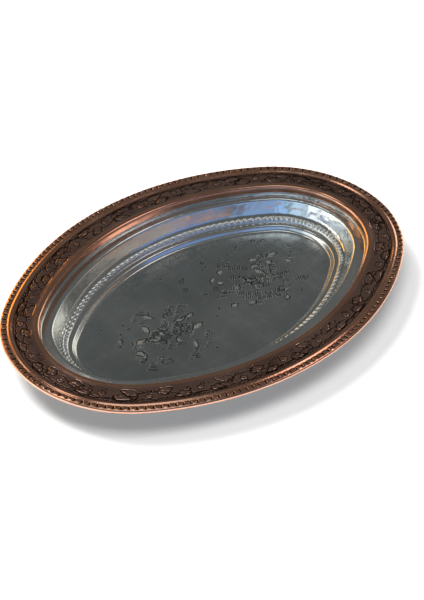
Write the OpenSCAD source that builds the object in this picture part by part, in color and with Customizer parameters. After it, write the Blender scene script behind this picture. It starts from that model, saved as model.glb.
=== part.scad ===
// Oval serving tray: one pressed copper sheet with a tinned well and a wired rolled edge.
// X is the long axis, Y the short axis, Z up; the origin is under the middle of the base.

/* [Oval outline] */
// Overall length over the rolled edge, mm
tray_length = 340; // [340:1:380]
// Radius of the two round ends, mm
end_radius = 93; // [88:1:98]
// Angle from the long axis at which a round end meets a long side, degrees
join_angle = 54; // [50:1:58]

/* [Sheet] */
// Thickness of the copper sheet, mm
sheet_t = 0.8; // [0.7:0.05:1]
// Thickness given to the tinned face of the well, mm
lining_t = 0.3; // [0.2:0.05:0.4]
// Diameter of the wire inside the rolled edge, mm
wire_d = 1.6; // [1.4:0.1:2]

/* [Depth] */
// Height of the flat flange above the base, mm
flange_z = 25.2; // [24:0.1:30]
// Height of the step round the floor, mm
step_h = 4; // [3:0.1:4.5]
// Height of the corded ring at the foot of the wall, mm
ring_z = 7.6; // [7:0.1:9]
// Height of the tinned ledge's crest, mm
ledge_z = 20.6; // [18:0.1:22]

/* [Rings, measured inward from the edge] */
// Inset of the smooth border ridge, mm
ridge_in = 7; // [6:0.1:9]
// Inset of the crest of the flange's inner roll, mm
roll_in = 26; // [24:0.1:26.6]
// Inset of the line where the copper ends and the tin starts, mm
tin_in = 29; // [28.6:0.1:30]
// Inset of the ledge's crest, mm
ledge_in = 37.4; // [36:0.1:38.5]
// Inset of the corded ring, mm
ring_in = 46.4; // [46:0.1:47]
// Inset of the floor's shoulder, mm
shoulder_in = 51.6; // [50:0.1:53]
// Inset of the flat floor, mm
floor_in = 55; // [54:0.1:58]

/* [Hidden] */
$fn = 96;

// Four-centre oval: two end arcs and two side arcs that meet on a common tangent.
// These sizes make it 236 mm wide.
end_x = tray_length / 2 - end_radius;
side_y = end_x * tan(join_angle);
side_radius = end_radius + end_x / cos(join_angle);

// Each arc's centre, radius, first angle and sweep.
side_angle = 180 - 2 * join_angle;
arcs = [
    [[end_x, 0, 0], end_radius, -join_angle, 2 * join_angle],
    [[0, -side_y, 0], side_radius, join_angle, side_angle],
    [[-end_x, 0, 0], end_radius, 180 - join_angle, 2 * join_angle],
    [[0, side_y, 0], side_radius, 180 + join_angle, side_angle]
];

// The rolled edge: a wire, wrapped once round by the sheet.
wire_r = wire_d / 2;
bead_r = wire_r + sheet_t;
bead_z = flange_z - bead_r + 0.2;

// Rise and half width of the smooth border ridge.
ridge_h = 1.1;
ridge_half = 2.1;
// Radii of the inner roll, the cove below it, the ledge's crest, the corded ring and the step.
roll_r = 2.4;
cove_r = 2.6;
ledge_r = 2.2;
ring_r = 1.4;
step_r = 1.4;

// The edge is rolled in flats of roll_step degrees, and the wire has the same flats inside it.
roll_step = 20;
roll_flats = 14;
function on_roll(r, i) =
    let (
        a = 90 + i * roll_step,
        corner_r = r / cos(roll_step / 2)
    )
    [bead_r + corner_r * cos(a), bead_z + corner_r * sin(a), 0];

// The sheet's outer face where it wraps the wire, from under the flange round to the top.
edge_roll = [for (i = [roll_flats:-1:0]) on_roll(bead_r, i)];

// Corners of the sheet's upper face, from the edge inward: inset, height, rounding radius.
upper_corners = [
    [ridge_in - ridge_half, flange_z - 0.1, 1],
    [ridge_in, flange_z + ridge_h, 1.4],
    [ridge_in + ridge_half, flange_z, 1],
    [roll_in - 4, flange_z, 3],
    [roll_in, flange_z + 1, 2],
    [roll_in + roll_r, flange_z, roll_r],
    [tin_in, ledge_z - 0.2, 0],
    [tin_in + 0.3, ledge_z - 2.2, cove_r],
    [ledge_in, ledge_z, ledge_r],
    [ring_in - 4.4, ring_z + 2, 8],
    [ring_in - 2.2, ring_z - 0.5, 1],
    [ring_in, ring_z + 0.6, ring_r],
    [ring_in + 1.7, ring_z - 2.4, 1.2],
    [shoulder_in, sheet_t + step_h, step_r],
    [floor_in - 1.4, sheet_t + 0.7, 2],
    [floor_in, sheet_t, 3]
];

// A corner swapped for an arc of radius r that touches both of its sides.
function unit(v) = v / norm(v);
function rounded(a, b, c, r) =
    let (
        u = unit(a - b),
        v = unit(c - b),
        half = acos(max(-1, min(1, u * v))) / 2,
        reach = min(r / tan(half), 0.48 * norm(a - b), 0.48 * norm(c - b)),
        rr = reach * tan(half),
        centre = b + unit(u + v) * reach / cos(half),
        start = b + u * reach - centre,
        finish = b + v * reach - centre,
        a0 = atan2(start[1], start[0]),
        sweep = atan2(start[0] * finish[1] - start[1] * finish[0], start * finish),
        steps = max(2, ceil(abs(sweep) / 18))
    )
    [for (i = [0:steps]) centre + rr * [cos(a0 + sweep * i / steps), sin(a0 + sweep * i / steps)]];

function flat(c) = [c[0], c[1]];
function soften(cs) = [
    for (i = [0:len(cs) - 1])
        each (i == 0 || i == len(cs) - 1 || cs[i][2] == 0
            ? [flat(cs[i])]
            : rounded(flat(cs[i - 1]), flat(cs[i]), flat(cs[i + 1]), cs[i][2]))
];

// The path moved sideways by d, along the mean normal at each point.
function turned(v) = [-v[1], v[0]];
function normal_at(p, i) =
    let (
        before = i == 0 ? unit(p[1] - p[0]) : unit(p[i] - p[i - 1]),
        after = i == len(p) - 1 ? before : unit(p[i + 1] - p[i]),
        mean = unit(turned(before) + turned(after))
    )
    mean / (mean * turned(after));
function moved(p, d) = [for (i = [0:len(p) - 1]) p[i] + d * normal_at(p, i)];
function reversed(p) = [for (i = [len(p) - 1:-1:0]) p[i]];

// The swept band runs a little way onto the floor, and the floor plate overlaps it.
overlap = 3;
floor_end = [floor_in + 2 * overlap, sheet_t, 0];
upper = soften(concat(edge_roll, upper_corners, [floor_end]));
tinned = [for (p = upper) if (p[0] >= tin_in - 0.001) p];

// Carries a profile, whose x is the inset from the edge, once round the oval.
module swept() {
    for (arc = arcs)
        translate(arc[0])
            rotate_extrude(angle = arc[3], start = arc[2])
                translate([arc[1], 0])
                    mirror([1, 0])
                        children();
}

// A flat oval plate whose outline lies inset from the edge.
module oval_plate(inset, thickness) {
    end_r = end_radius - inset;
    side_r = side_radius - inset;
    linear_extrude(thickness)
        union() {
            for (side = [-1, 1])
                translate([side * end_x, 0])
                    circle(end_r);
            intersection() {
                translate([0, -side_y])
                    circle(side_r);
                translate([0, side_y])
                    circle(side_r);
                square([2 * (end_x + end_r * cos(join_angle)), 2 * side_r], center = true);
            }
        }
}

// Pressed copper: floor, step, corded ring, wall, ledge, inner roll, flange and rolled edge.
module tray_sheet() {
    color("#8a4a2e")
        union() {
            swept()
                polygon(concat(upper, reversed(moved(upper, -sheet_t))));
            oval_plate(floor_in + overlap, sheet_t);
        }
}

// The wire that the rolled edge closes round.
module rim_wire() {
    color("#b87333")
        swept()
            polygon([for (i = [1:360 / roll_step]) flat(on_roll(wire_r, i))]);
}

// The tinned face of the well, from the foot of the inner roll down over the whole floor.
module tin_lining() {
    color("#b9bfc0")
        union() {
            swept()
                polygon(concat(moved(tinned, lining_t), reversed(tinned)));
            translate([0, 0, sheet_t])
                oval_plate(floor_in + overlap, lining_t);
        }
}

tray_sheet();
rim_wire();
tin_lining();
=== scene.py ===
import math

import bmesh
import bpy
import numpy as np
from mathutils import Matrix, Vector


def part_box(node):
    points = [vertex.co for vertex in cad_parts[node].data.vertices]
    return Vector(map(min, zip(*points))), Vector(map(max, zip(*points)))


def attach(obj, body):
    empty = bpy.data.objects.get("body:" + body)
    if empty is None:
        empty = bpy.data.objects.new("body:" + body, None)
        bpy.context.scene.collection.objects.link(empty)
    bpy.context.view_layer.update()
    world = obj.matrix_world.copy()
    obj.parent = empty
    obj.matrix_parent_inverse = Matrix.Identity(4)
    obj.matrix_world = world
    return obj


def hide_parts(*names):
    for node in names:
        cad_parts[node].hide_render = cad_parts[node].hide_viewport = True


# A hammered oval copper tray with a tinned well. Lengths in the shaping code are in
# millimetres, as in the CAD model, and a mesh turns them into metres when it is made.

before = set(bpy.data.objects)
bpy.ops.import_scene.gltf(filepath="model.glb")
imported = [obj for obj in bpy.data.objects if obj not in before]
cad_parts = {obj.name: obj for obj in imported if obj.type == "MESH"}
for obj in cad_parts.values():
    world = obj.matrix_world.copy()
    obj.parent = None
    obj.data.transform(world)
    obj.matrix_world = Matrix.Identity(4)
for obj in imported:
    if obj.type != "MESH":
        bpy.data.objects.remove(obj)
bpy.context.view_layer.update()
MM = 0.001

# ---------------------------------------------------------------- the oval

JOIN = math.radians(54)
END_R = 93.0
HALF_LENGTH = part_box("tray_sheet")[1].x / MM
END_X = HALF_LENGTH - END_R
SIDE_Y = END_X * math.tan(JOIN)
SIDE_R = END_R + END_X / math.cos(JOIN)
STRIP_IN = 14.0


class Columns:
    """Places round the oval, evenly spaced along the line STRIP_IN inside the edge."""

    def __init__(self, count):
        # Each arc's centre, radius, first angle and sweep.
        arcs = [
            (END_X, 0.0, END_R, -JOIN, 2 * JOIN),
            (0.0, -SIDE_Y, SIDE_R, JOIN, math.pi - 2 * JOIN),
            (-END_X, 0.0, END_R, math.pi - JOIN, 2 * JOIN),
            (0.0, SIDE_Y, SIDE_R, math.pi + JOIN, math.pi - 2 * JOIN),
        ]
        spans = np.array([(a[2] - STRIP_IN) * a[4] for a in arcs])
        ends = np.cumsum(spans)
        self.length = ends[-1]
        self.count = count
        self.s = np.arange(count) * self.length / count
        which = np.searchsorted(ends, self.s, side="right")
        table = np.array(arcs)[which]
        start = (ends - spans)[which]
        angle = table[:, 3] + (self.s - start) / (table[:, 2] - STRIP_IN)
        self.centre = table[:, :2]
        self.radius = table[:, 2]
        self.out = np.stack([np.cos(angle), np.sin(angle)], 1)
        self.around = abs(self.s - self.length / 2)

    def ring(self, inset, height):
        """Points round the oval at an inset from its edge."""
        xy = self.centre + self.out * (self.radius - inset)[:, None]
        return np.column_stack([xy, np.broadcast_to(height, self.count)])


# ---------------------------------------------------------------- the section

# The same sizes as the CAD model's: every inset is measured from the tray's edge.
SHEET_T = 0.8
LINING_T = 0.3
WIRE_R = 0.8
BEAD_R = WIRE_R + SHEET_T
FLANGE_Z = 25.2
BEAD_Z = FLANGE_Z - BEAD_R + 0.2
RIDGE_IN, ROLL_IN, TIN_IN, LEDGE_IN = 7.0, 26.0, 29.0, 37.4
CORD_IN, SHOULDER_IN, FLOOR_IN = 46.4, 51.6, 55.0
LEDGE_Z, CORD_Z, STEP_H = 20.6, 7.6, 4.0
ROLL_STEP = 20
ROLL_FLATS = 14


def edge_roll():
    """The sheet's outer face from under the flange, round the wire, to the top."""
    turns = np.radians(90 + ROLL_STEP * np.arange(ROLL_FLATS, -1, -1))
    return [(BEAD_R + BEAD_R * math.cos(a), BEAD_Z + BEAD_R * math.sin(a), 0) for a in turns]


# Corners of the sheet's upper face: inset, height and rounding radius.
CORNERS = edge_roll() + [
    (RIDGE_IN - 2.1, FLANGE_Z - 0.1, 1.0),
    (RIDGE_IN, FLANGE_Z + 1.1, 1.4),
    (RIDGE_IN + 2.1, FLANGE_Z, 1.0),
    (ROLL_IN - 4, FLANGE_Z, 3.0),
    (ROLL_IN, FLANGE_Z + 1, 2.0),
    (ROLL_IN + 2.4, FLANGE_Z, 2.4),
    (TIN_IN, LEDGE_Z - 0.2, 0),
    (TIN_IN + 0.3, LEDGE_Z - 2.2, 2.6),
    (LEDGE_IN, LEDGE_Z, 2.2),
    (CORD_IN - 4.4, CORD_Z + 2, 8.0),
    (CORD_IN - 2.2, CORD_Z - 0.5, 1.0),
    (CORD_IN, CORD_Z + 0.6, 1.4),
    (CORD_IN + 1.7, CORD_Z - 2.4, 1.2),
    (SHOULDER_IN, SHEET_T + STEP_H, 1.4),
    (FLOOR_IN - 1.4, SHEET_T + 0.7, 2.0),
    (FLOOR_IN, SHEET_T, 3.0),
    (FLOOR_IN + 2, SHEET_T, 0),
]


def unit(v):
    return v / np.linalg.norm(v)


def rounded(before, corner, after, radius):
    """A corner swapped for an arc that touches both of its sides."""
    u, v = unit(before - corner), unit(after - corner)
    half = math.acos(np.clip(u @ v, -1, 1)) / 2
    room = 0.48 * min(np.linalg.norm(before - corner), np.linalg.norm(after - corner))
    reach = min(radius / math.tan(half), room)
    centre = corner + unit(u + v) * reach / math.cos(half)
    a, b = corner + u * reach - centre, corner + v * reach - centre
    first = math.atan2(a[1], a[0])
    sweep = math.atan2(a[0] * b[1] - a[1] * b[0], a @ b)
    turns = first + sweep * np.linspace(0, 1, 9)
    return centre + reach * math.tan(half) * np.column_stack([np.cos(turns), np.sin(turns)])


class Section:
    """The upper face's outline, with a place and a normal at any distance along it."""

    def __init__(self, corners):
        flat = np.array([c[:2] for c in corners])
        parts = [flat[:1]]
        for i in range(1, len(corners) - 1):
            radius = corners[i][2]
            parts.append(rounded(*flat[i - 1 : i + 2], radius) if radius else flat[i : i + 1])
        parts.append(flat[-1:])
        self.points = np.vstack(parts)
        steps = np.linalg.norm(np.diff(self.points, axis=0), axis=1)
        self.along = np.concatenate([[0], np.cumsum(steps)])

    def at(self, along):
        along = np.asarray(along, float)
        return np.column_stack([np.interp(along, self.along, self.points[:, k]) for k in (0, 1)])

    def normal(self, along):
        d = self.at(np.add(along, 0.15)) - self.at(np.subtract(along, 0.15))
        n = np.column_stack([-d[:, 1], d[:, 0]])
        return n / np.linalg.norm(n, axis=1)[:, None]

    def find(self, inset, after=None):
        """The distance along at which the outline reaches an inset, past the edge roll."""
        start = after if after is not None else self.along[ROLL_FLATS]
        keep = self.along >= start
        return float(np.interp(inset, self.points[keep, 0], self.along[keep]))


section = Section(CORNERS)
TOP_OF_BEAD = section.along[ROLL_FLATS]
from_tin = np.hypot(*(section.points - [TIN_IN, LEDGE_Z - 0.2]).T)
TIN_EDGE = float(section.along[np.argmin(from_tin)])


# ---------------------------------------------------------------- relief

WIDEST_STRIP = 160.0


def lattice(columns, rows, cell_s, cell_p, seed):
    """Smooth noise from -1 to 1 over a strip, which closes on itself round the oval."""
    own = np.random.default_rng(seed)
    count_s = max(3, round(columns.length / cell_s))
    count_p = int(WIDEST_STRIP / cell_p) + 3
    values = own.uniform(-1, 1, (count_p, count_s))
    x = columns.s / columns.length * count_s
    y = np.asarray(rows, float) / cell_p
    xi, yi = np.floor(x).astype(int), np.floor(y).astype(int)
    fx, fy = x - xi, y - yi
    fx, fy = fx * fx * (3 - 2 * fx), (fy * fy * (3 - 2 * fy))[:, None]
    x0, x1 = xi % count_s, (xi + 1) % count_s
    low = values[yi][:, x0] * (1 - fx) + values[yi][:, x1] * fx
    high = values[yi + 1][:, x0] * (1 - fx) + values[yi + 1][:, x1] * fx
    return low * (1 - fy) + high * fy


def step(x, lo, hi):
    t = np.clip((x - lo) / (hi - lo), 0, 1)
    return t * t * (3 - 2 * t)


def band(x, lo, hi, soft):
    """1 between lo and hi, falling smoothly to 0 over soft on each side."""
    return step(x, lo - soft, lo) * (1 - step(x, hi, hi + soft))


class Strip:
    """A field of heights, on which strokes are struck: s runs along it and p across it. A
    length makes it close on itself."""

    def __init__(self, s, p, length=None):
        self.s, self.p, self.length = s, p, length
        shape = np.broadcast_shapes(s.shape, p.shape)
        self.cut = np.zeros(shape)
        self.rise = np.zeros(shape)

    def distance(self, points, reach, closed=False):
        """Grid cells near a line, their distance from it, how far along it they are, and
        where they lie."""
        (s0, p0), (s1, p1) = points.min(0) - reach, points.max(0) + reach
        s = self.s if self.length is None else (self.s - s0) % self.length + s0
        near = (s >= s0) & (s <= s1) & (self.p >= p0) & (self.p <= p1)
        near = np.broadcast_to(near, self.cut.shape)
        cells = np.nonzero(near)
        gs = np.broadcast_to(s, self.cut.shape)[cells]
        gp = np.broadcast_to(self.p, self.cut.shape)[cells]
        best = np.full(len(gs), 1e9)
        where = np.zeros(len(gs))
        ends = np.vstack([points, points[:1]]) if closed else points
        for i in range(len(ends) - 1):
            a, d = ends[i], ends[i + 1] - ends[i]
            t = ((gs - a[0]) * d[0] + (gp - a[1]) * d[1]) / (d @ d + 1e-9)
            t = np.clip(t, 0, 1)
            dist = np.hypot(gs - a[0] - t * d[0], gp - a[1] - t * d[1])
            closer = dist < best
            best[closer] = dist[closer]
            where[closer] = (i + t[closer]) / (len(ends) - 1)
        return cells, best, where, gs, gp

    def groove(self, points, width, depth, taper=0.0, closed=False, burr=0.0):
        """A chased line: a round-bottomed groove, thinner towards its end by taper, with a
        burr of metal pushed up beside it."""
        cells, dist, where, _, _ = self.distance(np.asarray(points, float), 1.3 * width, closed)
        half = np.maximum(width / 2 * (1 - taper * where), 1e-3)
        cut = depth * np.clip(1 - (dist / half) ** 2, 0, 1)
        self.cut[cells] = np.maximum(self.cut[cells], cut)
        pushed = burr * np.clip(1 - ((dist / half - 1.7) / 0.7) ** 2, 0, 1)
        self.rise[cells] = np.maximum(self.rise[cells], pushed)

    def boss(self, points, height, soft):
        """A raised cushion inside a closed line."""
        points = np.asarray(points, float)
        cells, dist, _, gs, gp = self.distance(points, soft, closed=True)
        inside = np.zeros(len(gs), bool)
        for (xa, ya), (xb, yb) in zip(points, np.roll(points, -1, 0)):
            crosses = (ya > gp) != (yb > gp)
            x = xa + (gp - ya) * (xb - xa) / np.where(abs(yb - ya) < 1e-9, 1e-9, yb - ya)
            inside ^= crosses & (gs < x)
        rise = np.where(inside, height * step(dist, 0, soft), 0)
        self.rise[cells] = np.maximum(self.rise[cells], rise)

    def field(self):
        return self.rise - self.cut


def spiral(centre, radius, start, turns, hand, points=22):
    t = np.linspace(0, 1, points)
    r = radius * (1 - 0.82 * t)
    a = start + hand * turns * 2 * math.pi * t
    return np.column_stack([centre[0] + r * np.cos(a), centre[1] + r * np.sin(a)])


def leaf_outline(base, heading, length, width, lobes=3, wave=0.22, points=26):
    """A lobed leaf that grows from base along heading."""
    t = np.linspace(0, 1, points // 2)
    half = width / 2 * np.sin(math.pi * t ** 0.8) * (1 + wave * np.cos(2 * math.pi * lobes * t))
    x = np.concatenate([t, t[::-1]]) * length
    y = np.concatenate([half, -half[::-1]])
    c, s = math.cos(heading), math.sin(heading)
    return np.column_stack([base[0] + c * x - s * y, base[1] + s * x + c * y])


def circle_points(centre, radius, squash=1.0, points=14):
    a = np.linspace(0, 2 * math.pi, points, endpoint=False)
    return np.column_stack([centre[0] + radius * np.cos(a), centre[1] + radius * squash * np.sin(a)])


SCROLLS = 24
VINE_IN, VINE_SWING = 15.9, 3.6
COAST_IN = 11.7
# The top of the range from which a stroke's direction is drawn, radians.
FULL_TURN = 6.3


def wander(line, length, own, swing, waves):
    """A hand-drawn waver that closes on itself: a few sines of whole numbers of waves."""
    total = np.zeros(len(line))
    turns = 2 * math.pi * line / length
    for count in waves:
        total += own.uniform(0.5, 1) * np.sin(count * turns + own.uniform(0, FULL_TURN))
    return swing * total / len(waves)


def long_line(strip, line, inset, width, depth):
    """A chased line all the way round, struck in short lengths."""
    for i in range(0, len(line) - 1, 12):
        part = slice(i, i + 13)
        strip.groove(np.column_stack([line[part], inset[part]]), width, depth)


def flange_ornament(strip, length):
    """A running vine with a rosette in each loop, broad leaves, curls, commas and dots."""
    own = np.random.default_rng(21)
    pitch = length / SCROLLS
    line = np.linspace(0, length, SCROLLS * 18 + 1)
    vine = VINE_IN + VINE_SWING * np.sin(math.pi * line / pitch)
    vine += wander(line, length, own, 1.0, (41, 63, 88))
    long_line(strip, line, vine, 1.0, 0.42)
    coast = COAST_IN + wander(line, length, own, 1.5, (37, 58, 97, 141))
    long_line(strip, line, coast, 1.0, 0.42)
    for k in range(SCROLLS):
        side = 1 if k % 2 == 0 else -1
        middle = (k + 0.5) * pitch + own.uniform(-2, 2)
        hollow = VINE_IN - side * own.uniform(0.2, 1.2)
        rosette(strip, (middle, hollow), own.uniform(2.2, 2.9), own)
        for lean in (-1, 1):
            broad_leaf(strip, middle + lean * own.uniform(5, 8), side, lean, own)
            along = middle + lean * own.uniform(9, 12)
            centre = (along, VINE_IN + side * lean * own.uniform(0.5, 2.2))
            curl = spiral(centre, own.uniform(2.4, 3.6), own.uniform(0, FULL_TURN), 0.9, side * lean)
            strip.groove(curl, 1.0, 0.42, taper=0.4)
        commas(strip, middle, pitch, own)
        for _ in range(5):
            along = middle + own.uniform(-0.5, 0.5) * pitch
            dot(strip, (along, own.uniform(10.8, 21.0)), 1.1, 0.34)
    foliage(strip, own)


def rosette(strip, centre, radius, own):
    """A low round cushion with a chased edge and a punched middle."""
    squash = own.uniform(0.78, 0.95)
    strip.boss(circle_points(centre, radius + 0.3, squash), 0.2, 0.9)
    strip.groove(circle_points(centre, radius, squash), 0.95, 0.44, closed=True)
    dot(strip, centre, 1.5, 0.5)


def dot(strip, centre, width, depth):
    """A punched dot: a stroke so short that only its round end shows."""
    strip.groove(np.array([centre, centre]) + [[0, 0], [0.3, 0.1]], width, depth)


def broad_leaf(strip, along, side, lean, own):
    """A smooth raised leaf with a chased edge and one rib."""
    base = (along, VINE_IN + side * 1.6)
    heading = side * math.radians(90 - 78 * lean + own.uniform(-9, 9))
    outline = leaf_outline(base, heading, own.uniform(11, 16), own.uniform(6, 8), 2, 0.16)
    outline[:, 1] = np.clip(outline[:, 1], RIDGE_IN + 3.6, ROLL_IN - 3.6)
    strip.boss(outline, 0.26, 2.2)
    strip.groove(outline, 1.05, 0.42, closed=True)
    tip = outline[len(outline) // 2]
    root = np.array(base)
    strip.groove([root + 0.15 * (tip - root), root + 0.7 * (tip - root)], 0.9, 0.3, taper=0.6)


def commas(strip, middle, pitch, own):
    """Short curved nicks in pairs near the flange's inner edge."""
    for _ in range(3):
        spot = middle + own.uniform(-0.5, 0.5) * pitch
        top = own.uniform(20.6, 22.0)
        lean = own.uniform(-1.3, 1.3)
        for shift in (0, 2.1):
            head = spot + shift
            comma = [(head, top), (head + lean * 0.3, top - 1.2), (head + lean, top - 2.6)]
            strip.groove(comma, 1.0, 0.42, taper=0.5)


def foliage(strip, own):
    """Closer curls at one end of the tray, where the chasing is most crowded."""
    for _ in range(34):
        centre = (own.uniform(30, 128), own.uniform(11.5, 20.5))
        radius, start = own.uniform(1.6, 2.8), own.uniform(0, FULL_TURN)
        curl = spiral(centre, radius, start, 0.8, own.choice([-1, 1]))
        strip.groove(curl, 0.95, 0.4, taper=0.3)


def scallop_line(strip, length, pitch, inset):
    """Small punched crescents side by side, just inside the smooth ridge."""
    count = round(length / pitch)
    t = np.linspace(0.08, 0.92, 6)
    for k in range(count):
        s = (k + t) * length / count
        p = inset + 0.8 * np.sin(math.pi * t)
        strip.groove(np.column_stack([s, p]), 0.85, 0.36)


BEADS = 168
BORDER_IN, BORDER_HALF = 3.3, 1.9


def border_beads(columns, inset):
    """Domed bars side by side round the border, with square gaps between them, and a mark
    that is lowest in the gaps, where the copper is painted near black for dirt and painted shade."""
    uneven = 0.35 * lattice(columns, [0], 17, 9, 6)[0]
    swing = abs(np.cos(math.pi * columns.s / columns.length * BEADS + uneven))
    bar = step(swing, 0.12, 0.72)
    crown = np.clip(1 - ((inset - BORDER_IN) / BORDER_HALF) ** 2, 0, 1)[:, None]
    height = crown * (0.68 * bar[None, :] - 0.08)
    # The second mark sinks the gaps, so the copper paints them near black: dirt and painted shade.
    return height, height - 0.36 * crown


CRIMPS = 136
CORD_HALF = 2.2


def cord_crimps(columns, along, crest):
    """Slanting crimps that make the ring at the foot of the wall look like a cord."""
    across = (along - crest)[:, None]
    turn = columns.s[None, :] * CRIMPS / columns.length
    slip = 0.25 * lattice(columns, [0], 14, 9, 12)[0]
    strand = abs(np.cos(math.pi * (turn + 0.24 * across + slip))) ** 0.75
    bulge = np.clip(1 - (across / CORD_HALF) ** 2, 0, 1) ** 0.8
    return bulge * (1.35 * strand - 0.36)


# ---------------------------------------------------------------- meshes

FULL, HALF, QUARTER = (Columns(n) for n in (1536, 768, 384))


class Stack:
    """Rings of points, each joined to the next, which make one skin."""

    def __init__(self):
        self.rings = []
        self.notes = []

    def add(self, points, **notes):
        self.rings.append(np.asarray(points, float))
        self.notes.append({k: np.broadcast_to(v, len(points)) for k, v in notes.items()})

    def faces(self):
        """Faces between the rings, where a ring may have half or twice its neighbour's points."""
        starts = np.concatenate([[0], np.cumsum([len(r) for r in self.rings])])
        out = []
        for i in range(len(self.rings) - 1):
            n, m = len(self.rings[i]), len(self.rings[i + 1])
            a, b = starts[i], starts[i + 1]
            k = np.arange(min(n, m))
            j = (k + 1) % min(n, m)
            if n == m:
                rows = [a + k, a + j, b + j, b + k]
            elif n == 2 * m:
                rows = [a + 2 * k, a + 2 * k + 1, a + 2 * j, b + j, b + k]
            else:
                rows = [a + k, a + j, b + 2 * j, b + 2 * k + 1, b + 2 * k]
            out.extend(np.column_stack(rows).tolist())
        return out

    def build(self, name):
        """The skin as an object, with a flat cap over the first ring."""
        faces = self.faces()
        faces.append(list(range(len(self.rings[0])))[::-1])
        mesh = bpy.data.meshes.new(name)
        mesh.from_pydata((np.vstack(self.rings) * MM).tolist(), [], faces)
        for key in sorted(self.notes[0]):
            layer = mesh.attributes.new(key, "FLOAT", "POINT")
            layer.data.foreach_set("value", np.concatenate([n[key] for n in self.notes]))
        piece = bpy.data.objects.new(name, mesh)
        bpy.context.scene.collection.objects.link(piece)
        tidy_skin(mesh)
        return piece


def tidy_skin(mesh):
    """Merges the points that meet where a floor closes onto the long axis, drops most of the
    empty faces there and turns all outward. The two sides' other points stay unmerged, so
    that seam is a hairline slit in places."""
    bm = bmesh.new()
    bm.from_mesh(mesh)
    bmesh.ops.remove_doubles(bm, verts=bm.verts, dist=2e-6)
    bmesh.ops.dissolve_degenerate(bm, dist=1e-7, edges=bm.edges)
    bmesh.ops.recalc_face_normals(bm, faces=bm.faces)
    for face in bm.faces:
        face.smooth = True
    bm.to_mesh(mesh)
    bm.free()


def on_section(columns, along, lift):
    """The ring at a distance along the section, moved off it by lift along its normal."""
    (inset, height), (nu, nz) = section.at([along])[0], section.normal([along])[0]
    return columns.ring(inset + nu * lift, height + nz * lift)


def floor_ring(columns, inset):
    """A ring inside the flat floor, which closes onto the long axis at the middle."""
    xy = columns.ring(min(inset, END_R), 0)[:, :2]
    if inset > END_R:
        lens = SIDE_R - END_R - SIDE_Y
        xy[:, 1] *= max(0.0, 1 - (inset - END_R) / lens)
    return xy


def spaced(lo, hi, gap):
    """Even steps from lo to hi, about a gap apart."""
    return np.linspace(lo, hi, max(2, round((hi - lo) / gap) + 1))


def dents(columns, rows, size=1.0):
    """The slow unevenness that hammering leaves, in millimetres."""
    wide = lattice(columns, rows, 23, 11, 3)
    close = lattice(columns, rows, 7.5, 5.5, 4)
    return size * (0.6 * wide + 0.4 * close)


# The inset at which a floor ring closes onto the long axis.
DEEPEST = HALF_LENGTH - END_X + SIDE_R - END_R - SIDE_Y


# ---------------------------------------------------------------- the copper sheet

# The struck pattern's rings lie closest together between these insets.
PATTERN_IN, PATTERN_OUT = 22.0, 9.4
# The copper under the tin is set back, so that the floor's strokes don't reach it.
HIDDEN_DROP = 0.4


def copper_relief():
    """Distances along the section and insets of the rows of the border and flange, the heights
    struck into them, and a mark that also counts the dirt and painted shade between the bars."""
    rows = np.concatenate([
        spaced(TOP_OF_BEAD, section.find(PATTERN_OUT), 0.34)[:-1],
        spaced(section.find(PATTERN_OUT), section.find(PATTERN_IN), 0.4),
    ])
    inset = section.at(rows)[:, 0]
    strip = Strip(FULL.s[None, :], inset[:, None], FULL.length)
    flange_ornament(strip, FULL.length)
    scallop_line(strip, FULL.length, FULL.length / (BEADS * 1.5), 9.5)
    pebbles = lattice(FULL, rows, 1.5, 1.2, 5)
    fade = 0.05 * band(inset, 10.2, 21.0, 1.0) + 0.12 * band(inset, 1.9, 4.7, 0.5)
    # Dirt and painted shade: this mark sinks the gaps between the bars, which the copper paints near
    # black.
    bars, gap_shade_and_dirt = border_beads(FULL, inset)
    height = strip.field() + bars + fade[:, None] * pebbles
    return rows, inset, height, strip.field() + gap_shade_and_dirt


def polish_of(inset):
    """How bright hand polishing and use leave the copper, by distance from the edge."""
    return 1 - 0.94 * band(inset, 10.0, 23.3, 1.1)


def copper_tray():
    """The whole sheet: the part hidden under the tin, the roll, the flange and border, the
    rolled edge's outer and inner faces, and the lower face."""
    stack = Stack()
    hidden = section.along[(section.along > TIN_EDGE + 0.4)][::-2]
    for along in hidden:
        stack.add(on_section(QUARTER, along, -HIDDEN_DROP), relief=0, polish=0.4, around=0)
    roll = spaced(section.find(PATTERN_IN) + 0.4, TIN_EDGE + 0.3, 0.55)[::-1]
    for along in roll:
        polish = polish_of(section.at([along])[0, 0])
        lift = dents(HALF, [along], 0.04)[0] - 0.05
        stack.add(on_section(HALF, along, lift), relief=0, polish=polish, around=HALF.around)
    rows, insets, heights, struck = copper_relief()
    for along, inset, height, mark in zip(rows[::-1], insets[::-1], heights[::-1], struck[::-1]):
        lift = height + dents(FULL, [along], 0.09)[0] * band(inset, 10, 21, 3) - 0.04
        skin = on_section(FULL, along, lift)
        stack.add(skin, relief=mark, polish=polish_of(inset), around=FULL.around)
    for along in spaced(0.0, TOP_OF_BEAD - 0.35, 0.5)[::-1]:
        stack.add(on_section(HALF, along, -0.02), relief=0, polish=0.85, around=HALF.around)
    for along in spaced(0.0, TOP_OF_BEAD, 0.9):
        stack.add(on_section(QUARTER, along, -SHEET_T), relief=0, polish=0.2, around=QUARTER.around)
    under(stack, rows, heights)
    return stack.build("tray_sheet_copper")


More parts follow.
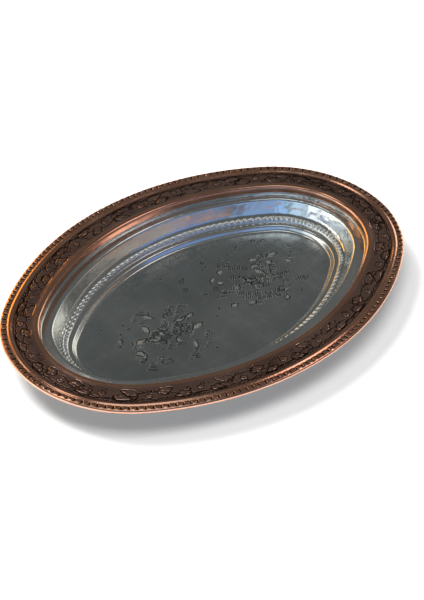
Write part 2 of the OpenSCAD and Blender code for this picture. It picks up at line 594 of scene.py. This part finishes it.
def under(stack, rows, heights):
    """The sheet's lower face: the same strokes in reverse, and a planished floor."""
    for i in range(3, len(rows), 3):
        lift = 0.8 * heights[i, ::2] - SHEET_T
        stack.add(on_section(HALF, rows[i], lift), relief=0, polish=0.32, around=HALF.around)
    for along in section.along[(section.along > rows[-1] + 0.5)][::2]:
        marks = 0.05 * (1 + dents(QUARTER, [along])[0])
        skin = on_section(QUARTER, along, marks - SHEET_T)
        stack.add(skin, relief=0, polish=0.36, around=QUARTER.around)
    for inset in spaced(FLOOR_IN + 3, DEEPEST, 1.5):
        marks = 0.06 * (1 + dents(QUARTER, [inset + 30])[0])
        xy = floor_ring(QUARTER, inset)
        stack.add(np.column_stack([xy, marks]), relief=0, polish=0.4, around=QUARTER.around)


# ---------------------------------------------------------------- the tinned well

CREST_OF_CORD = section.find(CORD_IN - 0.4, after=TIN_EDGE)


def tinned_well():
    """The tin's bright face: the ledge, the wall, the corded ring, the step and the floor."""
    stack = Stack()
    edge = section.along[-1]
    stack.add(on_section(HALF, TIN_EDGE, LINING_T), relief=0, flat=0)
    for along in spaced(TIN_EDGE + 0.3, CREST_OF_CORD - 2.8, 0.75):
        marks = wall_marks(HALF, along)
        stack.add(on_section(HALF, along, LINING_T + marks), relief=0, flat=0)
    cord = spaced(CREST_OF_CORD - 2.5, CREST_OF_CORD + 2.5, 0.3)
    crimps = cord_crimps(FULL, cord, CREST_OF_CORD)
    for along, crimp in zip(cord, crimps):
        stack.add(on_section(FULL, along, LINING_T + crimp), relief=crimp, flat=0)
    for along in spaced(CREST_OF_CORD + 2.8, edge, 0.6):
        flat = step(along, edge - 2.5, edge - 1)
        stack.add(on_section(HALF, along, LINING_T), relief=0, flat=flat)
    tinned_floor(stack)
    return stack


def wall_marks(columns, along):
    """Hammer marks on the bright wall, closest together at one end of the well."""
    broad = dents(columns, [along], 0.15)[0]
    pebbles = lattice(columns, [along], 2.6, 2.2, 8)[0]
    one_end = step(columns.out[:, 0], 0.2, 0.9)
    return broad + 0.1 * one_end * pebbles


def tinned_floor(stack):
    """The flat floor, with its chased strokes and a slow unevenness."""
    insets = spaced(FLOOR_IN + 2.6, DEEPEST, 0.75)
    xy = np.array([floor_ring(HALF, i) for i in insets])
    strip = Strip(xy[:, :, 0], xy[:, :, 1])
    floor_ornament(strip)
    field = strip.field()
    height = SHEET_T + LINING_T
    for i, inset in enumerate(insets):
        slow = 0.05 * dents(HALF, [inset + 30])[0] * step(inset, FLOOR_IN + 2, FLOOR_IN + 14)
        stack.add(np.column_stack([xy[i], height + slow + field[i]]), relief=field[i], flat=1)


def floor_ornament(strip):
    """Light chasing on the floor: two loose sprays of leaves, hatching, rings and nicks."""
    own = np.random.default_rng(33)
    for side in (-1, 1):
        for _ in range(18):
            centre = spray_spot(side, own)
            heading = own.uniform(0, FULL_TURN)
            outline = leaf_outline(centre, heading, own.uniform(6, 12), own.uniform(3.6, 5.5))
            strip.boss(outline, 0.16, 1.6)
            strip.groove(outline[: own.integers(12, 26)], 1.1, 0.22, taper=0.3, burr=0.07)
        for _ in range(9):
            centre = spray_spot(side, own)
            curl = spiral(centre, own.uniform(2.5, 5), own.uniform(0, FULL_TURN), 0.7, side)
            strip.groove(curl, 1.2, 0.24, taper=0.5, burr=0.07)
        for _ in range(38):
            hatched_fan(strip, side, own)
    for _ in range(46):
        spot = np.array([own.uniform(-96, 96), own.uniform(-46, 46)])
        if on_floor(spot):
            turn = own.uniform(0, FULL_TURN)
            nick = own.uniform(1, 3.5) * np.array([math.cos(turn), math.sin(turn)])
            bend = spot + 0.5 * nick + own.uniform(-0.5, 0.5, 2)
            strip.groove([spot, bend, spot + nick], 1.1, 0.22, burr=0.06)
    for _ in range(12):
        spot = np.array([own.uniform(-90, 90), own.uniform(-42, 42)])
        strip.groove(circle_points(spot, own.uniform(1.3, 2.0)), 0.95, 0.17, closed=True)


def spray_spot(side, own):
    """A place in one of the two sprays, thickest at its middle."""
    turn, reach = own.uniform(0, FULL_TURN), own.uniform(0, 1)
    return np.array([side * 46 + 42 * reach * math.cos(turn), -3 + 32 * reach * math.sin(turn)])


def on_floor(spot):
    """Whether a spot lies well inside the flat floor."""
    return (spot[0] / 100) ** 2 + (spot[1] / 50) ** 2 < 1


def hatched_fan(strip, side, own):
    """A few strokes side by side, all leaning the same way."""
    spot = spray_spot(side, own)
    lean = own.uniform(0.3, 1.5) * side
    stroke = own.uniform(2.5, 8) * np.array([math.cos(lean), math.sin(lean)])
    for k in range(own.integers(3, 8)):
        shift = np.array([1.55 * k * side, -0.9 * k]) + own.uniform(-0.4, 0.4, 2)
        if on_floor(spot + shift):
            end = spot + shift + stroke * own.uniform(0.6, 1.1)
            strip.groove([spot + shift, end], 1.0, 0.22, taper=0.6, burr=0.09)


def close_lining(stack):
    """Adds the lining's hidden back, which lies on the copper."""
    back = Stack()
    back.add(on_section(HALF, TIN_EDGE, 0), relief=0, flat=0)
    for along in section.along[section.along > TIN_EDGE + 0.4][::2]:
        back.add(on_section(QUARTER, along, 0), relief=0, flat=0)
    stack.rings = back.rings[::-1] + stack.rings
    stack.notes = back.notes[::-1] + stack.notes
    return stack


# ---------------------------------------------------------------- materials

class Paint:
    """A material's node tree, with short ways to add to it."""

    def __init__(self, name, metallic=1.0):
        self.material = bpy.data.materials.new(name)
        self.material.use_nodes = True
        self.tree = self.material.node_tree
        self.shader = self.tree.nodes["Principled BSDF"]
        self.shader.inputs["Metallic"].default_value = metallic
        self.place = self.tree.nodes.new("ShaderNodeTexCoord").outputs["Object"]

    def feed(self, source, socket):
        if isinstance(source, bpy.types.NodeSocket):
            self.tree.links.new(source, socket)
        else:
            socket.default_value = source

    def note(self, name):
        node = self.tree.nodes.new("ShaderNodeAttribute")
        node.attribute_name = name
        return node.outputs["Fac"]

    def noise(self, scale, detail=4.0, stretch=(1, 1, 1), turn=0.0):
        mapping = self.tree.nodes.new("ShaderNodeMapping")
        mapping.inputs["Scale"].default_value = stretch
        mapping.inputs["Rotation"].default_value = (0, 0, math.radians(turn))
        self.feed(self.place, mapping.inputs["Vector"])
        node = self.tree.nodes.new("ShaderNodeTexNoise")
        node.inputs["Scale"].default_value = scale
        node.inputs["Detail"].default_value = detail
        self.feed(mapping.outputs["Vector"], node.inputs["Vector"])
        return node.outputs["Fac"]

    def streaks(self, note, scale):
        """Noise along a single distance, which leaves straight marks across it."""
        node = self.tree.nodes.new("ShaderNodeTexNoise")
        node.noise_dimensions = "1D"
        node.inputs["Scale"].default_value = scale
        node.inputs["Detail"].default_value = 2
        self.feed(self.note(note), node.inputs["W"])
        return node.outputs["Fac"]

    def spread(self, source, lo, hi, to_lo=0.0, to_hi=1.0):
        node = self.tree.nodes.new("ShaderNodeMapRange")
        self.feed(source, node.inputs["Value"])
        ends = {"From Min": lo, "From Max": hi, "To Min": to_lo, "To Max": to_hi}
        for key, value in ends.items():
            node.inputs[key].default_value = value
        return node.outputs["Result"]

    def sum(self, a, b, how="ADD"):
        node = self.tree.nodes.new("ShaderNodeMath")
        node.operation = how
        self.feed(a, node.inputs[0])
        self.feed(b, node.inputs[1])
        return node.outputs["Value"]

    def blend(self, amount, a, b):
        node = self.tree.nodes.new("ShaderNodeMix")
        node.data_type = "RGBA"
        self.feed(amount, node.inputs["Factor"])
        self.feed(a, node.inputs["A"])
        self.feed(b, node.inputs["B"])
        return node.outputs["Result"]

    def bump(self, height, strength, depth, under=None):
        node = self.tree.nodes.new("ShaderNodeBump")
        node.inputs["Strength"].default_value = strength
        node.inputs["Distance"].default_value = depth * MM
        self.feed(height, node.inputs["Height"])
        if under is not None:
            self.feed(under, node.inputs["Normal"])
        return node.outputs["Normal"]

    def finish(self, colour, roughness, normal):
        self.feed(colour, self.shader.inputs["Base Color"])
        self.feed(roughness, self.shader.inputs["Roughness"])
        self.feed(normal, self.shader.inputs["Normal"])
        return self.material


def worn_copper(name):
    """Brown patina in the struck pattern, bright copper where hands and cloths reach."""
    p = Paint(name)
    relief, polish = p.note("relief"), p.note("polish")
    blotch, grain = p.noise(38, 5), p.noise(420, 4)
    patina = p.blend(p.spread(blotch, 0.32, 0.68), (0.44, 0.25, 0.2, 1), (0.66, 0.41, 0.33, 1))
    patina = p.blend(p.spread(relief, 0.06, 0.3, 0, 0.2), patina, (0.78, 0.48, 0.38, 1))
    bright = p.blend(p.spread(blotch, 0.3, 0.7), (0.8, 0.4, 0.26, 1), (0.9, 0.5, 0.35, 1))
    edge = p.sum(polish, p.spread(grain, 0, 1, -0.12, 0.12))
    colour = p.blend(p.spread(edge, 0.2, 0.8), patina, bright)
    # Dirt and painted shade: the chased lines and the gaps between the border's bars are painted
    # near black.
    hollow = p.spread(relief, -0.03, -0.19)
    colour = p.blend(hollow, colour, (0.035, 0.02, 0.015, 1))
    dull = p.spread(grain, 0.3, 0.7, 0.15, 0.24)
    shine = p.spread(blotch, 0.3, 0.7, 0.1, 0.2)
    roughness = p.blend(hollow, p.blend(polish, dull, shine), (0.6, 0.6, 0.6, 1))
    fine = p.bump(grain, 0.35, 0.04)
    hammered = p.bump(p.noise(95, 3), 0.4, 0.16, fine)
    drawn = p.bump(p.sum(p.streaks("around", 1.1), polish, "MULTIPLY"), 0.35, 0.09, hammered)
    return p.finish(colour, roughness, drawn)


def copper_wire(name):
    """The wire in the rim: drawn copper, dulled, with faint lengthwise marks."""
    p = Paint(name)
    stain = p.noise(60, 5)
    colour = p.blend(p.spread(stain, 0.35, 0.65), (0.46, 0.23, 0.15, 1), (0.7, 0.38, 0.26, 1))
    marks = p.noise(900, 3, stretch=(0.2, 0.2, 3))
    return p.finish(colour, p.spread(stain, 0.3, 0.7, 0.28, 0.45), p.bump(marks, 0.4, 0.04))


def wiped_tin(name):
    """Hand-wiped tin: bright and wavy on the walls, brushed and scratched on the floor."""
    p = Paint(name)
    relief, flat = p.note("relief"), p.note("flat")
    cloud, speck = p.noise(16, 6), p.noise(600, 3)
    wall = p.blend(p.spread(cloud, 0.35, 0.65), (0.74, 0.77, 0.76, 1), (0.84, 0.86, 0.85, 1))
    worn = p.blend(p.spread(cloud, 0.3, 0.7), (0.5, 0.54, 0.54, 1), (0.76, 0.8, 0.8, 1))
    colour = p.blend(flat, wall, worn)
    colour = p.blend(p.spread(relief, 0.02, 0.08, 0, 0.8), colour, (0.93, 0.95, 0.94, 1))
    # Painted shade: the chased lines on the floor and the hollows between the cord's crimps are
    # painted near black.
    groove = p.spread(relief, -0.02, -0.17)
    colour = p.blend(groove, colour, (0.06, 0.065, 0.065, 1))
    scratch = p.noise(170, 7, stretch=(1, 0.16, 1), turn=28)
    wiped = p.noise(260, 6, stretch=(0.2, 1, 1), turn=-17)
    marks = p.sum(scratch, wiped)
    rough_floor = p.sum(p.spread(marks, 0.8, 1.2, 0.17, 0.3), p.spread(relief, 0.02, 0.08, 0, 0.3))
    rough_wall = p.spread(cloud, 0.3, 0.7, 0.12, 0.24)
    roughness = p.blend(flat, rough_wall, rough_floor)
    brushed = p.bump(p.sum(marks, flat, "MULTIPLY"), 0.35, 0.045)
    return p.finish(colour, roughness, p.bump(speck, 0.12, 0.02, brushed))


def plain_floor(name):
    """Matt pale paper."""
    p = Paint(name, metallic=0.0)
    mottle = p.noise(3, 2)
    colour = p.blend(p.spread(mottle, 0.3, 0.7), (0.86, 0.86, 0.86, 1), (0.88, 0.88, 0.88, 1))
    return p.finish(colour, 0.8, p.bump(p.noise(300, 2), 0.05, 0.02))


# ---------------------------------------------------------------- the stage

BOX_DISTANCE = 3.0


def softbox(name, azimuth, elevation, size, glow, colour=(1, 1, 1), reflected=True, oval=False):
    """A light of an even glow that faces the tray and hides from the camera."""
    a, e = math.radians(azimuth), math.radians(elevation)
    away = Vector((math.cos(a) * math.cos(e), math.sin(a) * math.cos(e), math.sin(e)))
    data = bpy.data.lights.new(name, "AREA")
    data.shape = "ELLIPSE" if oval else "RECTANGLE"
    data.size, data.size_y = size
    # Times the area, so that a panel of any size glows alike.
    data.energy = (math.pi if oval else 4) * size[0] * size[1] * glow
    data.color = colour
    light = bpy.data.objects.new(name, data)
    light.location = away * BOX_DISTANCE
    light.rotation_euler = away.to_track_quat("Z", "Y").to_euler()
    light.visible_camera = False
    light.visible_glossy = reflected
    bpy.context.scene.collection.objects.link(light)


def light_stage():
    """A high key and an overhead box for the floor, and panels for the metal to reflect: gold
    at the far left, cream at the right, and a sky behind the camera that pales to the left."""
    scene = bpy.context.scene
    scene.view_settings.view_transform = "Standard"
    world = bpy.data.worlds.new("studio")
    world.use_nodes = True
    tree = world.node_tree
    surround = tree.nodes["Background"]
    surround.inputs["Color"].default_value = (0.97, 1.0, 0.98, 1)
    surround.inputs["Strength"].default_value = 0.11
    backdrop = tree.nodes.new("ShaderNodeBackground")
    backdrop.inputs["Color"].default_value = (0.9, 0.9, 0.9, 1)
    seen = tree.nodes.new("ShaderNodeLightPath")
    either = tree.nodes.new("ShaderNodeMixShader")
    tree.links.new(seen.outputs["Is Camera Ray"], either.inputs["Fac"])
    tree.links.new(surround.outputs["Background"], either.inputs[1])
    tree.links.new(backdrop.outputs["Background"], either.inputs[2])
    tree.links.new(either.outputs["Shader"], tree.nodes["World Output"].inputs["Surface"])
    scene.world = world
    softbox("key", 108, 52, (1.3, 1.3), 15.5, (1.0, 0.985, 0.96), reflected=False)
    softbox("overhead", 224, 76, (1.9, 1.5), 5.4, reflected=False)
    softbox("cream", 118, 64, (1.2, 0.6), 1.2, (1.0, 0.93, 0.84))
    softbox("top", 224, 78, (1.6, 1.4), 0.7, (0.9, 0.96, 1.0))
    softbox("straw", 114, 31, (0.6, 1.3), 0.75, (1.0, 0.86, 0.68))
    softbox("amber", 93, 31, (0.6, 1.2), 0.55, (1.0, 0.52, 0.14), oval=True)
    softbox("low_amber", 88, 12, (2.3, 0.95), 1.75, (1.0, 0.5, 0.07))
    softbox("front_fill", -32, 52, (0.9, 0.8), 1.3, (1.0, 0.82, 0.76))
    softbox("low_cream", 6, 11, (1.5, 1.0), 1.2, (1.0, 0.95, 0.82))
    softbox("deep_sky", 285, 16, (2.2, 1.0), 0.33, (0.16, 0.4, 1.0))
    softbox("sky", 238, 18, (2.6, 1.5), 0.45, (0.25, 0.5, 1.0), oval=True)
    softbox("pale_sky", 212, 16, (2.0, 1.5), 0.3, (0.4, 0.66, 1.0), oval=True)
    softbox("bright_sky", 190, 15, (2.2, 1.5), 0.5, (0.6, 0.8, 1.0), oval=True)
    softbox("window", 164, 12, (2.0, 1.5), 0.85, (0.9, 0.95, 1.0), oval=True)
    softbox("warm_window", 133, 8, (2.3, 1.3), 1.7, (1.0, 0.95, 0.84), oval=True)


def place_camera():
    """A long lens, as the photograph was taken: 120 mm over a frame 36 mm high."""
    yaw, rise, roll = (math.radians(a) for a in (-45.43, 39.04, 2.26))
    aim, distance, across, down = Vector((0, 0, 23.8)), 1469.9, 3.0, 14.3
    right = Vector((math.cos(yaw), math.sin(yaw), 0))
    back = Vector((math.sin(yaw) * math.cos(rise), -math.cos(yaw) * math.cos(rise), math.sin(rise)))
    up = back.cross(right)
    level = right * math.cos(roll) + up * math.sin(roll)
    upright = up * math.cos(roll) - right * math.sin(roll)
    seat = aim + back * distance + level * across - upright * down
    data = bpy.data.cameras.new("camera")
    data.sensor_fit = "VERTICAL"
    data.sensor_height = 36
    data.lens = 120
    camera = bpy.data.objects.new("camera", data)
    turn = Matrix((level, upright, back)).transposed().to_4x4()
    camera.matrix_world = Matrix.Translation(seat * MM) @ turn
    bpy.context.scene.collection.objects.link(camera)
    bpy.context.scene.camera = camera


def floor_plane():
    """The plain pale floor that the tray stands on."""
    mesh = bpy.data.meshes.new("floor")
    reach = 3.0
    corners = [(-reach, -reach, 0), (reach, -reach, 0), (reach, reach, 0), (-reach, reach, 0)]
    mesh.from_pydata(corners, [], [(0, 1, 2, 3)])
    plane = bpy.data.objects.new("floor", mesh)
    bpy.context.scene.collection.objects.link(plane)
    mesh.materials.append(plain_floor("pale_floor"))


# ---------------------------------------------------------------- the pieces together

sheet = copper_tray()
sheet.data.materials.append(worn_copper("worn_copper"))
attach(sheet, "root")
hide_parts("tray_sheet")

lining = close_lining(tinned_well()).build("tin_lining_wiped")
lining.data.materials.append(wiped_tin("wiped_tin"))
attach(lining, "root")
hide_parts("tin_lining")
# Without copper-coloured light on the floor, the shadow is as grey as the photograph's.
for piece in (sheet, lining):
    piece.visible_diffuse = False

wire = bpy.data.objects["rim_wire"]
for slot in wire.material_slots:
    slot.material = copper_wire("copper_wire")

place_camera()
floor_plane()
light_stage()

bpy.context.view_layer.update()
